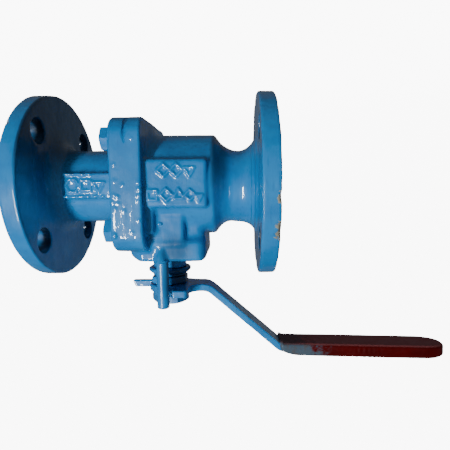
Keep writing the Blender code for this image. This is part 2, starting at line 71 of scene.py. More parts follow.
BODY_LOW, BODY_HIGH = node_box("body")
FACE_X = (BODY_LOW[0], node_box("adaptor")[1][0])
MIDDLE_X = sum(FACE_X) / 2
HALF_LENGTH = (FACE_X[1] - FACE_X[0]) / 2
FLANGE_R = BODY_HIGH[1]
FLANGE_THICK = 11.6
FLANGE_EDGE_R = 1.6
RAISED = 1.6
RAISED_R = 36.5
BOLT_CIRCLE_R = 49.2
HOLE_AT = BOLT_CIRCLE_R * math.sqrt(0.5)
HOLE_R = 7.95
HOLE_FROM_MIDDLE = 66.0
PARTING_X = BODY_HIGH[0]
SQUARE_X = (8.3, 29.1)
SQUARE_HALF = 43.4
SQUARE_CORNER_R = 14.0
NECK_R = 25.7
BODY_NECK_X = (-72.0, -30.0)
ADAPTOR_NECK_X = (16.0, 80.0)
CORE_LIFT = 1.6
BARREL_R = 35.2
BARREL_X = (-33.5, 13.0)
CONE_END = (-41.5, NECK_R - 1.1)
BLOCK_X = -27.9
BLOCK_TOP = 51.3
BLOCK_HALF_Y = 24.0
HEAD_HALF_Y = 28.6
HEAD_LOW = 36.8
BLOCK_CORNER_R = 5.0
BLOCK_EDGE_R = 3.0
STUFFING_BOX_R = 12.3
STUFFING_BOX_TOP = 59.3
JOINT_DEPTH = 1.15
# what is cast onto body and adaptor: lowest corner, highest corner, edge radius and fillet
PAD_Y = -37.9
NECK_PAD_Y = -28.1
LUG = ((-15.3, -29.4, 20.0), (9.3, -10.0, 41.0), 2.6, 2.6)
WEB = ((3.6, -34.6, 10.0), (9.3, -20.0, 32.0), 2.3, 3.5)
PAD = ((-31.6, PAD_Y, -16.4), (9.3, -20.0, 14.8), 2.6, 2.2)
NECK_PAD = ((27.0, NECK_PAD_Y, -8.7), (64.0, -18.0, 8.7), 1.6, 2.0)
PIN_LOW, PIN_HIGH = node_box("stop_pin")
PIN_Y = (PIN_LOW[1] + PIN_HIGH[1]) / 2
PIN_R = (PIN_HIGH[1] - PIN_LOW[1]) / 2
PIN_ROOT_Z = 38.6
BOLT_LOW, BOLT_HIGH = node_box("body_bolt_4")
BOLT_AT = (BOLT_LOW[2] + BOLT_HIGH[2]) / 2
BOLT_FLATS = min(BOLT_HIGH[1] - BOLT_LOW[1], BOLT_HIGH[2] - BOLT_LOW[2])
BOLT_HEAD = 6.6
BOLT_SHANK_R = 4.7
LEVER_Z = (71.5, 76.7)
GLAND_Z = (59.5, 63.7)
SPRING_Z = 64.0
LOCK_WASHER_Z = (77.0, 79.0)
BALL_R = 27.0
PORT_R = 16.0
END_BORE_R = 19.0
CAVITY_R = 28.2
SEAT_X = (17.9, 26.0)
SEAT_R = 23.4
GASKET_GROOVE_X = (12.9, 14.9)
GASKET_GROOVE_R = 31.0
COLLAR_POCKET_R, COLLAR_POCKET_TOP = 11.5, 33.3
STEM_HOLE_R = 8.4
PACKING_R, PACKING_BOTTOM = 10.8, 38.0
GAP = 0.3


# ---- Distance fields ----

def rounded(values, r):
    """Joins the distances to several walls into one solid whose edges have radius r."""
    grown = [value + r for value in values]
    outside = np.sqrt(sum(np.maximum(value, 0) ** 2 for value in grown))
    return outside + np.minimum(np.maximum.reduce(grown), 0) - r


def slab(coordinate, low, high):
    return np.abs(coordinate - (low + high) / 2) - (high - low) / 2


def box(p, low, high, r):
    return rounded([slab(a, lo, hi) for a, lo, hi in zip(p, low, high)], r)


def bar(along, radial, ends, r, edge_r):
    """A round bar between two ends of its axis."""
    return rounded([slab(along, *sorted(ends)), radial - r], edge_r)


def blend(a, b, r):
    """Union with a fillet of radius r."""
    return np.maximum(r, np.minimum(a, b)) - np.hypot(np.maximum(r - a, 0), np.maximum(r - b, 0))


def carve(a, b, r):
    """Takes b out of a, with the new edges rounded to radius r."""
    return np.minimum(-r, np.maximum(a, -b)) + np.hypot(np.maximum(r + a, 0), np.maximum(r - b, 0))


def stroke(u, v, points):
    """Distance to an open line through points."""
    best = np.full(u.shape, 1e9)
    for (x0, y0), (x1, y1) in zip(points, points[1:]):
        ex, ey = x1 - x0, y1 - y0
        t = np.clip(((u - x0) * ex + (v - y0) * ey) / (ex * ex + ey * ey), 0, 1)
        best = np.minimum(best, (u - x0 - ex * t) ** 2 + (v - y0 - ey * t) ** 2)
    return np.sqrt(best)


def polygon(u, v, points):
    """Signed distance to a closed polygon."""
    closed = points + points[:1]
    sign = np.ones(u.shape)
    for (x0, y0), (x1, y1) in zip(closed, closed[1:]):
        above, below = v >= y0, v < y1
        left = (x1 - x0) * (v - y0) > (y1 - y0) * (u - x0)
        sign = np.where((above & below & left) | ~(above | below | left), -sign, sign)
    return sign * stroke(u, v, closed)


def smooth(value, start, end):
    t = np.clip((value - start) / (end - start), 0, 1)
    return t * t * (3 - 2 * t)


CELLS = 32
LATTICE = np.random.default_rng(7).uniform(-1, 1, (CELLS, CELLS, CELLS))


def lumps(p, size, shift=0.0):
    """Smooth random relief between -1 and 1, with lumps about one size across."""
    cells, blends = [], []
    for axis, value in enumerate(p):
        scaled = value / (size[axis] if isinstance(size, tuple) else size) + shift + 11.3 * axis
        cell = np.floor(scaled)
        part = scaled - cell
        cells.append(cell.astype(int))
        blends.append(part * part * (3 - 2 * part))
    total = np.zeros(p[0].shape)
    for corner in range(8):
        offset = [(corner >> axis) & 1 for axis in range(3)]
        index = [(cell + step) % CELLS for cell, step in zip(cells, offset)]
        weight = math.prod(part if step else 1 - part for part, step in zip(blends, offset))
        total += weight * LATTICE[tuple(index)]
    return total


def layered(p, layers):
    """Relief from layers of lumps, each with a height, a size and a shift."""
    return sum(height * lumps(p, size, shift) for height, size, shift in layers)


# ---- From field to mesh ----

def sample(field, low, counts, step):
    """The field on a grid, worked out only near the surface: elsewhere it holds the nearest sign."""
    block = 4
    coarse = [
        low[axis] + (np.arange(math.ceil(counts[axis] / block)) + 0.5) * block * step - step / 2
        for axis in range(3)
    ]
    rough = field(np.meshgrid(*coarse, indexing="ij"))
    near = np.abs(rough) < block * step * math.sqrt(3) / 2 * 1.05
    fine = np.where(rough < 0, -9.0, 9.0)
    for axis in range(3):
        near = np.repeat(near, block, axis)
        fine = np.repeat(fine, block, axis)
    kept = tuple(slice(count) for count in counts)
    fine = fine[kept].astype(np.float32)
    where = np.nonzero(near[kept])
    points = tuple(low[axis] + where[axis] * step for axis in range(3))
    fine[where] = field(points)
    return fine


def gradient(field, p):
    """A field's slope, from its values at the corners of a small tetrahedron."""
    eps = 0.02
    slope = [0.0, 0.0, 0.0]
    for corner in ((1, -1, -1), (-1, -1, 1), (-1, 1, -1), (1, 1, 1)):
        value = field(tuple(place + eps * sign for place, sign in zip(p, corner)))
        slope = [total + sign * value for total, sign in zip(slope, corner)]
    return np.stack(slope, 1) / (4 * eps)


def normals(field, points):
    slope = gradient(field, points.T)
    return slope / np.maximum(np.linalg.norm(slope, axis=1), 1e-6)[:, None]


def net(values, low, step):
    """Points and quads of the surface where the gridded values change sign."""
    inside = values < 0
    shape = np.array(values.shape) - 1
    corners = [(i, j, k) for i in (0, 1) for j in (0, 1) for k in (0, 1)]

    def part(array, corner):
        i, j, k = corner
        return array[i:i + shape[0], j:j + shape[1], k:k + shape[2]]

    count = sum(part(inside, corner).astype(np.int8) for corner in corners)
    cells = np.nonzero((count > 0) & (count < 8))
    number = np.full(tuple(shape), -1, np.int64)
    number[cells] = np.arange(len(cells[0]))
    total = np.zeros((len(cells[0]), 3))
    hits = np.zeros(len(cells[0]))
    for a in corners:
        for axis in range(3):
            if a[axis]:
                continue
            b = tuple(value + (axis == k) for k, value in enumerate(a))
            va, vb = (values[tuple(cell + k for cell, k in zip(cells, corner))] for corner in (a, b))
            crossing = (va < 0) != (vb < 0)
            t = np.where(crossing, va / np.where(crossing, va - vb, 1), 0)
            place = np.tile(np.array(a, float), (len(t), 1))
            place[:, axis] += t
            total += place * crossing[:, None]
            hits += crossing
    points = np.array(low) + (np.stack(cells, 1) + total / hits[:, None]) * step
    quads = []
    for axis in range(3):
        u, v = (axis + 1) % 3, (axis + 2) % 3
        size = [slice(1, count) for count in shape]
        size[axis] = slice(0, shape[axis])
        here = inside[tuple(size)]
        size[axis] = slice(1, shape[axis] + 1)
        there = inside[tuple(size)]
        for first, second, order in ((here, there, 1), (there, here, -1)):
            ring = []
            for du, dv in ((0, 0), (1, 0), (1, 1), (0, 1)):
                cell = list(np.nonzero(first & ~second))
                cell[u] = cell[u] + du
                cell[v] = cell[v] + dv
                ring.append(number[tuple(cell)])
            quads.append(np.stack(ring, 1)[:, ::order])
    return points, np.concatenate(quads)


def settle(field, points, rounds):
    """Moves points onto the field's surface."""
    for _ in range(rounds):
        value = field(points.T)
        slope = gradient(field, points.T)
        steep = np.maximum((slope ** 2).sum(1), 0.25)
        points = points - (np.clip(value, -0.6, 0.6) / steep)[:, None] * slope
    return points


def sharpen(field, points, quads, step):
    """Draws the points beside a crease onto it, where the tangent planes of their neighbours meet."""
    normal = normals(field, points)
    offset = (normal * points).sum(1)
    squares = (normal[:, :, None] * normal[:, None, :]).reshape(-1, 9)
    rows = np.hstack([squares, normal * offset[:, None]])
    sums = np.empty(rows.shape)
    for column in range(rows.shape[1]):
        around = rows[quads, column].sum(1)
        sums[:, column] = sum(np.bincount(quads[:, k], around, len(points)) for k in range(4))
    planes = np.bincount(quads.ravel(), minlength=len(points)) * 4.0
    pull = sums[:, :9].reshape(-1, 3, 3)
    target = sums[:, 9:] - np.einsum("nij,nj->ni", pull, points)
    pull += 0.02 * planes[:, None, None] * np.eye(3)
    move = np.linalg.solve(pull, target[:, :, None])[:, :, 0]
    length = np.maximum(np.linalg.norm(move, axis=1), 1e-9)
    return points + move * np.minimum(1.0, 0.7 * step / length)[:, None]


def add_object(name, data):
    added = bpy.data.objects.new(name, data)
    bpy.context.scene.collection.objects.link(added)
    return added


def add_piece(name, mesh, material):
    """An object for a mesh, shaded smooth except over creases."""
    mesh.shade_smooth()
    mesh.set_sharp_from_angle(angle=math.radians(50))
    mesh.materials.append(material)
    return add_object(name, mesh)


def new_piece(name, points, faces, material):
    """A smooth-shaded object from points in millimetres about the ball's centre."""
    mesh = bpy.data.meshes.new(name)
    mesh.vertices.add(len(points))
    mesh.vertices.foreach_set("co", (points * MM + CENTRE).astype(np.float32).ravel())
    mesh.loops.add(faces.size)
    mesh.loops.foreach_set("vertex_index", faces.astype(np.int32).ravel())
    mesh.polygons.add(len(faces))
    mesh.polygons.foreach_set("loop_start", np.arange(0, faces.size, 4, dtype=np.int32))
    mesh.polygons.foreach_set("loop_total", np.full(len(faces), 4, np.int32))
    mesh.update(calc_edges=True)
    mesh.validate()
    return add_piece(name, mesh, material)


# steps between a box and its grid: a round number would put flat faces on the grid's own points
MARGIN = 2.37


def surface(field, low, high, step, relief=None):
    """Points and quads of a field's surface inside a box, with an optional relief along the normal."""
    step = step * COARSE
    low = np.array(low, float) - MARGIN * step
    counts = [int(math.ceil((hi - lo) / step)) + 3 for lo, hi in zip(low, np.array(high, float))]
    points, quads = net(sample(field, low, counts, step), low, step)
    points = settle(field, points, 2)
    points = settle(field, sharpen(field, points, quads, step), 1)
    if relief:
        points = points + relief(points.T)[:, None] * normals(field, points)
    return points, quads


# ---- Castings ----

def shape_line(centre, radius, corners, turn=0.0):
    """A closed line round a regular shape, with its first corner turned from +x, in degrees."""
    angles = [math.radians(turn + 360 * step / corners) for step in range(corners + 1)]
    return [(centre[0] + radius * math.cos(a), centre[1] + radius * math.sin(a)) for a in angles]


# plain triangles, diamonds and squares, in two rows on the body's pad and one on the neck's
PAD_MARKS = [
    shape_line((-4.3, -9.0), 4.0, 4), shape_line((-12.4, -8.9), 4.0, 4),
    shape_line((-20.5, -8.6), 3.8, 3, 90), shape_line((3.0, 6.6), 4.2, 4, 45),
    shape_line((-5.7, 6.4), 3.9, 4), shape_line((-13.6, 6.7), 3.9, 3, -90),
    shape_line((-20.6, 6.6), 3.4, 4), shape_line((-26.2, 8.0), 2.6, 3, 90),
]
NECK_MARKS = [
    shape_line((58.0, -0.2), 4.6, 6), shape_line((49.0, -0.2), 4.6, 4, 45),
    shape_line((40.6, 0.0), 4.4, 3, 90),
    [(63.0, -7.6), (57.8, -7.4)], [(55.6, -7.7), (50.2, -7.2)], [(48.0, -7.6), (45.8, -7.4)],
    [(63.4, 7.0), (61.2, 7.3)], [(58.8, 7.2), (56.4, 7.0)], [(54.4, 7.3), (50.8, 6.9)],
    [(48.6, 7.2), (47.2, 7.0)], [(43.8, 7.4), (42.0, 6.8)], [(38.6, 7.4), (37.6, 7.2)],
]
MARK_R = 1.1
# paint pimples on the square's front: x, z and radius
PIMPLES = [
    (26.0, 6.0, 1.1), (23.6, 7.2, 1.4), (25.1, 14.6, 1.2), (26.4, 31.3, 2.0), (25.0, -2.6, 0.8),
    (20.1, -0.1, 1.0), (13.5, -28.2, 0.9), (19.6, 15.9, 0.9), (23.1, 11.5, 0.8), (26.7, 10.4, 0.8),
    (10.6, 22.0, 1.0), (15.0, 29.5, 0.8), (24.8, -12.5, 0.8), (9.9, -1.4, 1.0), (10.1, 2.6, 1.3),
    (10.2, 6.6, 1.2), (10.3, 9.8, 0.9),
]
LUG_PIMPLE = (0.1, -29.9, 25.5)
LUG_PIMPLE_R = 1.3
# places where the paint has come off a flange's edge: x, y, z and radius
CHIPS = [
    (-76.6, -63.0, 8.2, 4.2), (-76.8, -58.2, 25.2, 4.4), (-75.9, -56.2, 30.2, 4.3),
    (85.0, -51.0, -38.0, 1.8),
]
CHIP_DEPTH = 0.9
# layers of relief, each a height, a size and a shift; settling draws the whole skin back in
CAST_LUMPS = [(0.26, 17.0, 0.0)]
CAST_GRAIN = [(0.15, 7.0, 3.1), (0.07, 2.6, 8.2)]
CAST_SETTLING = -0.25
PAINT_RUNS = [(0.05, (1.7, 3.0, 6.0), 5.0)]
BRUSHED = [(0.06, 6.0, 4.4), (0.05, 2.2, 9.1)]
BRUSHED_SETTLING = -0.08


def casting_inside(p):
    """Bores, seat pockets, ball cavity, stem way and gland bore."""
    x, y, z = p
    radial = np.hypot(y, z)
    half = [
        (SEAT_X[0] - GAP, CAVITY_R), (SEAT_X[0] - GAP, SEAT_R + GAP), (SEAT_X[1] + GAP, SEAT_R + GAP),
        (SEAT_X[1] + GAP, PORT_R), (40.0, PORT_R), (50.0, END_BORE_R), (92.0, END_BORE_R), (92.0, -9.0),
    ]
    low, high = GASKET_GROOVE_X
    groove = [(low, CAVITY_R), (low, GASKET_GROOVE_R), (high, GASKET_GROOVE_R), (high, CAVITY_R)]
    way = polygon(x, radial, [(-at, r) for at, r in half[::-1]] + groove + half)
    stem = polygon(z, np.hypot(x, y), [
        (22.0, -9.0), (22.0, COLLAR_POCKET_R), (COLLAR_POCKET_TOP, COLLAR_POCKET_R),
        (COLLAR_POCKET_TOP, STEM_HOLE_R), (PACKING_BOTTOM, STEM_HOLE_R), (PACKING_BOTTOM, PACKING_R),
        (64.0, PACKING_R), (64.0, -9.0),
    ])
    return np.minimum(way, stem)


def flange(x, radial, face, sign):
    """Flange disc and raised face."""
    rim = (face + sign * RAISED, face + sign * (RAISED + FLANGE_THICK))
    lip = (face, face + sign * FLANGE_THICK / 2)
    disc = bar(x, radial, rim, FLANGE_R, FLANGE_EDGE_R)
    return blend(disc, bar(x, radial, lip, RAISED_R, 0.35), 0.6)


def bosses(solid, p):
    """Adds the stem block with its thicker head, the lug, the pads and the stuffing box."""
    x, y, z = p
    plan = box((x, y), (BLOCK_X, -BLOCK_HALF_Y), (PARTING_X + 5.0, BLOCK_HALF_Y), BLOCK_CORNER_R)
    block = rounded([plan, slab(z, 0.0, BLOCK_TOP - 2.0)], BLOCK_EDGE_R)
    plan = box((x, y), (BLOCK_X, -HEAD_HALF_Y), (PARTING_X, HEAD_HALF_Y), BLOCK_CORNER_R)
    head = rounded([plan, slab(z, HEAD_LOW, BLOCK_TOP)], BLOCK_EDGE_R)
    solid = blend(solid, blend(block, head, 4.5), 3.5)
    for low, high, edge_r, fillet_r in (LUG, WEB, PAD, NECK_PAD):
        solid = blend(solid, box(p, low, high, edge_r), fillet_r)
    return blend(solid, bar(z, np.hypot(x, y), (40.0, STUFFING_BOX_TOP), STUFFING_BOX_R, 0.5), 1.6)


def hexagon(u, v, flats):
    """Distance to a hexagon with flats facing along v."""
    u, v = np.abs(u), np.abs(v)
    return np.maximum(v, u * math.sin(math.pi / 3) + v / 2) - flats / 2


def pimple(p, centre, size, flatness):
    """Distance to a drop of paint on a wall that faces along y."""
    x, y, z = p
    return np.hypot(np.hypot(x - centre[0], z - centre[2]), (y - centre[1]) * flatness) - size


def paint_build(solid, p):
    """Raised marks, and paint that is drawn up round pin, bolt heads and pimples."""
    x, y, z = p
    for lines, front in ((PAD_MARKS, PAD_Y), (NECK_MARKS, NECK_PAD_Y)):
        away = np.minimum.reduce([stroke(x, z, line) for line in lines])
        solid = blend(solid, np.hypot(away, (y - front) * 1.1) - MARK_R, 0.7)
    # the paint round the pin thins out downwards, like a drop
    climb = np.clip((z - PIN_ROOT_Z) / (BLOCK_TOP - PIN_ROOT_Z), 0.0, 1.3)
    root = (np.hypot(x - 0.8, y - (PIN_Y + 1.2 * (1 - climb))) - (0.6 + (PIN_R + 0.1) * climb)) * 0.94
    root = rounded([root, slab(z, PIN_ROOT_Z - 1.0, BLOCK_TOP + 0.6)], 0.5)
    solid = blend(solid, root, 1.6)
    heads = rounded([
        hexagon(np.abs(y) - BOLT_AT, np.abs(z) - BOLT_AT, BOLT_FLATS - 0.4),
        slab(x, 26.0, BOLT_HIGH[0] - 2.0),
    ], 0.3)
    solid = blend(solid, heads, 1.4)
    drops = [pimple(p, (at_x, -SQUARE_HALF, at_z), size, 2.4) for at_x, at_z, size in PIMPLES]
    solid = blend(solid, np.minimum.reduce(drops), 0.6)
    return blend(solid, pimple(p, LUG_PIMPLE, LUG_PIMPLE_R, 2.0), 0.6)


def castings(p):
    """Body and adaptor as one painted skin: the two pieces are parted at the joint plane afterwards."""
    x, y, z = p
    radial = np.hypot(y, z)
    # the core stood a little high in the mould, which shows on the body's neck
    lifted = np.hypot(y, z - CORE_LIFT * np.exp(-((x + 52.0) / 9.0) ** 2))
    body_neck = bar(x, lifted, BODY_NECK_X, NECK_R, 0.5)
    inset = 3.0
    barrel = polygon(x, radial, [
        (BARREL_X[0], BARREL_R - inset), (CONE_END[0], CONE_END[1] - inset), (CONE_END[0], -inset),
        (BARREL_X[1], -inset), (BARREL_X[1], BARREL_R - inset),
    ]) - inset
    solid = blend(blend(flange(x, radial, FACE_X[0], 1), body_neck, 13.0), barrel, 5.0)
    adaptor_neck = bar(x, radial, ADAPTOR_NECK_X, NECK_R, 0.5)
    other = blend(flange(x, radial, FACE_X[1], -1), adaptor_neck, 9.5)
    outline = box((y, z), (-SQUARE_HALF, -SQUARE_HALF), (SQUARE_HALF, SQUARE_HALF), SQUARE_CORNER_R)
    square = rounded([outline, slab(x, *SQUARE_X)], 1.8)
    solid = np.minimum(blend(solid, square, 6.0), blend(other, square, 4.0))
    solid = paint_build(bosses(solid, p), p)
    # the joint between the castings is open underneath and filled with paint higher up
    depth = JOINT_DEPTH * smooth(-z, 23.0, 32.0) * smooth(-y, 29.0, 36.0) * (1 + 0.25 * lumps(p, 9.0))
    groove = np.hypot(x - PARTING_X, outline + 0.1) - depth
    solid = np.where(depth > 0.05, carve(solid, groove, 0.25), solid)
    holes = np.hypot(np.abs(y) - HOLE_AT, np.abs(z) - HOLE_AT) - HOLE_R
    holes = np.maximum(holes, HOLE_FROM_MIDDLE - np.abs(x - MIDDLE_X))
    solid = carve(solid, holes, 0.9)
    return carve(solid, casting_inside(p), 0.35)


def worn_front(p):
    """The square's front: fine runs in the paint, a swelling by the edge and a softened corner."""
    x, y, z = p
    runs = layered(p, PAINT_RUNS) * smooth(z, 6.0, 24.0) * (0.35 + 0.65 * smooth(-x, -19.0, -15.0))
    swollen = 0.35 * np.exp(-((x - 8.0) / 2.6) ** 2 - ((z - 4.0) / 9.0) ** 2)
    return runs + (swollen - 0.03 * np.clip(x - 26.0, 0.0, 3.0) ** 2)


def cast_relief(p):
    """Uneven sand-cast skin under thick paint, with chips; machined faces and bores stay true."""
    x, y, z = p
    radial = np.hypot(y, z)
    machined = (x < FACE_X[0] + 1.0) | (x > FACE_X[1] - 1.0) | ((radial < 24.0) & (np.abs(y) < 20))
    turned = smooth(-x, 44.0, 48.0) * smooth(31.0 - radial, 0.0, 3.0)
    coarse = layered(p, CAST_LUMPS) * (1 - 0.5 * turned)
    relief = coarse + layered(p, CAST_GRAIN) * (1 - 0.8 * turned) + CAST_SETTLING
    front = smooth(-y, 41.0, 42.5) * smooth(x, 7.0, 9.0)
    relief = relief * (1 - 0.6 * front) + worn_front(p) * front
    for at_x, at_y, at_z, size in CHIPS:
        away = np.sqrt((x - at_x) ** 2 + (y - at_y) ** 2 + (z - at_z) ** 2) + 1.1 * lumps(p, 2.2, 1.7)
        relief = relief - CHIP_DEPTH * smooth(-away, 0.5 - size, 1.2 - size)
    return np.where(machined, 0.0, relief)


def make_castings(paint):
    """Body and adaptor castings, parted so that their outer skins meet exactly."""
    points, quads = surface(
        castings, (FACE_X[0], -FLANGE_R, -FLANGE_R), (FACE_X[1], FLANGE_R, FLANGE_R), 0.95, cast_relief
    )
    plane = PARTING_X + 0.1
    points[:, 0] = np.clip(points[:, 0], *FACE_X)
    beside = np.abs(points[:, 0] - plane) < 0.08
    points[beside, 0] = plane
    whole = new_piece("castings", points, quads, paint)
    pieces = []
    for name, keep in (("body_casting", -1), ("adaptor_casting", 1)):
        build = bmesh.new()
        build.from_mesh(whole.data)
        cut = bmesh.ops.bisect_plane(
            build, geom=build.verts[:] + build.edges[:] + build.faces[:], dist=2e-6,
            plane_co=Vector(CENTRE) + Vector((plane * MM, 0, 0)), plane_no=(keep, 0, 0), clear_inner=True,
        )
        rim = [item for item in cut["geom_cut"] if isinstance(item, bmesh.types.BMEdge)]
        bmesh.ops.triangle_fill(build, use_beauty=True, use_dissolve=False, edges=rim)
        bmesh.ops.holes_fill(build, edges=[edge for edge in build.edges if edge.is_boundary], sides=0)
        bmesh.ops.recalc_face_normals(build, faces=build.faces)
        mesh = bpy.data.meshes.new(name)
        build.to_mesh(mesh)
        build.free()
        pieces.append(add_piece(name, mesh, paint))
    bpy.data.objects.remove(whole)
    return pieces


# ---- Closure, seals and stem ----

SLOT_HALF = 4.3
SLOT_BOTTOM = 20.4
STEM_R = 8.0
STEM_LOW, STEM_HIGH = node_box("stem")
SHOULDER_Z = 29.0
COLLAR_R = 11.0
COLLAR_Z = (27.7, 31.2)
TANG_HALF = (4.0, 9.0)
THREAD_PITCH = 1.5
THREAD_DEPTH = 0.28
FLAT_HALF = 6.0


def ball_field(p):
    """Bored ball with the stem's slot across its top."""
    x, y, z = p
    sphere = np.sqrt(x * x + y * y + z * z) - (BALL_R - 0.05)
    bored = carve(sphere, np.hypot(y, z) - PORT_R, 1.0)
    slot = rounded([slab(x, -SLOT_HALF, SLOT_HALF), slab(z, SLOT_BOTTOM, 40.0)], 0.2)
    return carve(bored, slot, 0.4)


def seat_field(side, p):
    """Seat ring with a face that follows the ball."""
    x, y, z = p
    radial = np.hypot(y, z)
    ring = carve(bar(side * x, radial, SEAT_X, SEAT_R, 0.4), radial - PORT_R, 0.3)
    return carve(ring, np.sqrt(x * x + y * y + z * z) - (BALL_R + GAP), 0.3)


def lathe_field(profile, p):
    """A turned ring about the stem's axis from its half section, points as (height, radius)."""
    x, y, z = p
    return polygon(z, np.hypot(x, y), profile) - 0.15


def stem_field(p):
    """Stem with its tang and collar, a thread for the nut, and two flats that drive the lever."""
    x, y, z = p
    radial = np.hypot(x, y)
    shaft = bar(z, radial, (SHOULDER_Z, STEM_HIGH[2]), STEM_R, 0.9)
    turns = np.abs(((z / THREAD_PITCH + np.arctan2(y, x) / math.tau) % 1) - 0.5) * 2
    shaft = shaft + smooth(z, 64.6, 65.4) * THREAD_DEPTH * turns
    collar = bar(z, radial, COLLAR_Z, COLLAR_R, 0.4)
    thick, wide = TANG_HALF
    tang = box(p, (-thick, -wide, STEM_LOW[2]), (thick, wide, SHOULDER_Z), 0.4)
    flats = np.maximum(FLAT_HALF - np.abs(y), LEVER_Z[0] - GAP - z)
    return np.minimum(carve(shaft, flats, 0.3), np.minimum(collar, tang))


# ---- Gland, nuts, washers, pin and bolts ----

GLAND_PROFILE = [
    (51.0, 8.5), (51.0, 10.3), (GLAND_Z[0] + 0.1, 10.3), (GLAND_Z[0] + 0.1, 14.6), (60.3, 15.35),
    (61.5, 15.35), (GLAND_Z[1] - 0.1, 13.2), (GLAND_Z[1] - 0.1, 8.5),
]
SPRING_PROFILE = [
    (SPRING_Z + 0.15, 12.1), (SPRING_Z + 0.85, 12.1), (SPRING_Z + 1.35, 8.5), (SPRING_Z + 0.65, 8.5),
]
# across flats, bottom, top, bore and whether the flats face along x
STEM_NUT = (24.6, 65.8, 71.2, 8.35, True)
LEVER_NUT = (24.0, 79.3, 85.2, 8.2, False)
LOCK_WASHER_R = (8.4, 13.0)


def chamfered(solid, beyond, from_end):
    """Cuts a hexagon's corners back by a 30 degree cone that starts beyond a radius."""
    return rounded([solid, beyond * 0.5 + from_end * 0.866], 0.3)


def nut_field(flats, low, high, bore, turned, p):
    """A nut with both ends chamfered and its edges softened by paint."""
    x, y, z = p
    u, v = (y, x) if turned else (x, y)
    radial = np.hypot(x, y)
    solid = rounded([hexagon(u, v, flats), slab(z, low, high)], 0.55)
    solid = chamfered(solid, radial - flats / 2 - 0.25, slab(z, low, high))
    return carve(solid, radial - bore, 0.3)


def washer_field(p):
    """Spring lock washer with its cut."""
    x, y, z = p
    low, high = LOCK_WASHER_Z
    inner, outer = LOCK_WASHER_R
    radial = np.hypot(x, y)
    solid = carve(bar(z, radial, LOCK_WASHER_Z, outer, 0.35), radial - inner, 0.2)
    return carve(solid, box(p, (5.0, 0.4, low - 2.0), (20.0, 1.9, high + 2.0), 0.1), 0.2)


def pin_field(p):
    x, y, z = p
    return bar(z, np.hypot(x, y - PIN_Y), (BLOCK_TOP - 2.0, PIN_HIGH[2]), PIN_R, 1.3)


def bolt_field(at_y, at_z, p):
    """Hexagon head on its shank, with a flat facing up."""
    x, y, z = p
    u, v = y - at_y, z - at_z
    radial = np.hypot(u, v)
    head = rounded([hexagon(u, v, BOLT_FLATS), slab(x, BOLT_HIGH[0] - BOLT_HEAD, BOLT_HIGH[0])], 0.7)
    shank = bar(x, radial, (BOLT_LOW[0], BOLT_HIGH[0] - 1.0), BOLT_SHANK_R, 0.4)
    return np.minimum(chamfered(head, radial - BOLT_FLATS / 2 - 0.2, x - BOLT_HIGH[0]), shank)


# ---- Lever and grip ----

LEVER_THICK = LEVER_Z[1] - LEVER_Z[0]
LEVER_END = node_box("lever")[0][0]
GRIP_MOUTH = node_box("grip_sleeve")[1][0]
# side view of the bar's underside: x and z of its ends and bends
LEVER_PATH = [(40.0, LEVER_Z[0]), (-29.7, LEVER_Z[0]), (-82.4, 117.5), (-202.0, 120.3)]
BEND_R = (8.0, 4.5)
HUB_R = 15.0
HUB_HALF, ARM_HALF = 9.2, 8.3
STOP_SHOULDER = 4.4
TAIL_END_X = (30.0, 27.8)
STOP_LUG = (-15.8, -26.5)
TAIL_HALF_Y = 9.6
GRIP_WALL = (2.3, 2.45)
GRIP_TIP = 17.0
# the slanting plane that ends the sleeve above its mouth: a point on it and the way it faces, in x and z
SLANT_AT = (-79.9, 120.9)
SLANT_WAY = (0.398, 0.917)
SAG_LUMPS = [(0.10, (14.0, 6.0, 6.0), 2.2), (0.05, 4.0, 7.7)]
SAG_SETTLING = -0.15
RIDGES_X = (-156.0, -128.0)
RIDGE_HEIGHT = 0.25


def bent_path(rise, steps=6):
    """The lever's side view at a height above its underside, with an arc at both bends."""
    corners = [Vector(point) for point in LEVER_PATH]
    ways = [(after - before).normalized() for before, after in zip(corners, corners[1:])]
    ups = [Vector((way.y, -way.x)) for way in ways]
    points = [corners[0] + rise * ups[0]]
    for corner, way, way_on, up, radius in zip(corners[1:], ways, ways[1:], ups, BEND_R):
        turn = way.angle_signed(way_on)
        climbs = turn > 0
        underside = radius + (LEVER_THICK if climbs else 0.0)
        start = corner - way * underside * math.tan(abs(turn) / 2)
        centre = start + (underside if climbs else -underside) * up
        for step in range(steps + 1):
            points.append(centre + Matrix.Rotation(-turn * step / steps, 2) @ (start + rise * up - centre))
    points.append(corners[-1] + rise * ups[-1])
    return [tuple(point) for point in points]


LEVER_LINE = bent_path(LEVER_THICK / 2)


def strip_plan(x, y, grown, tip):
    """Distance to the arm's outline seen from above, grown on all sides, with an oval end."""
    half = ARM_HALF + (HUB_HALF - ARM_HALF) * smooth(x, -33.7, -23.7) + grown
    start = LEVER_END - grown + tip
    oval = np.hypot((x - start) / tip * half, y) - half
    return np.where(x < start, oval, np.abs(y) - half)


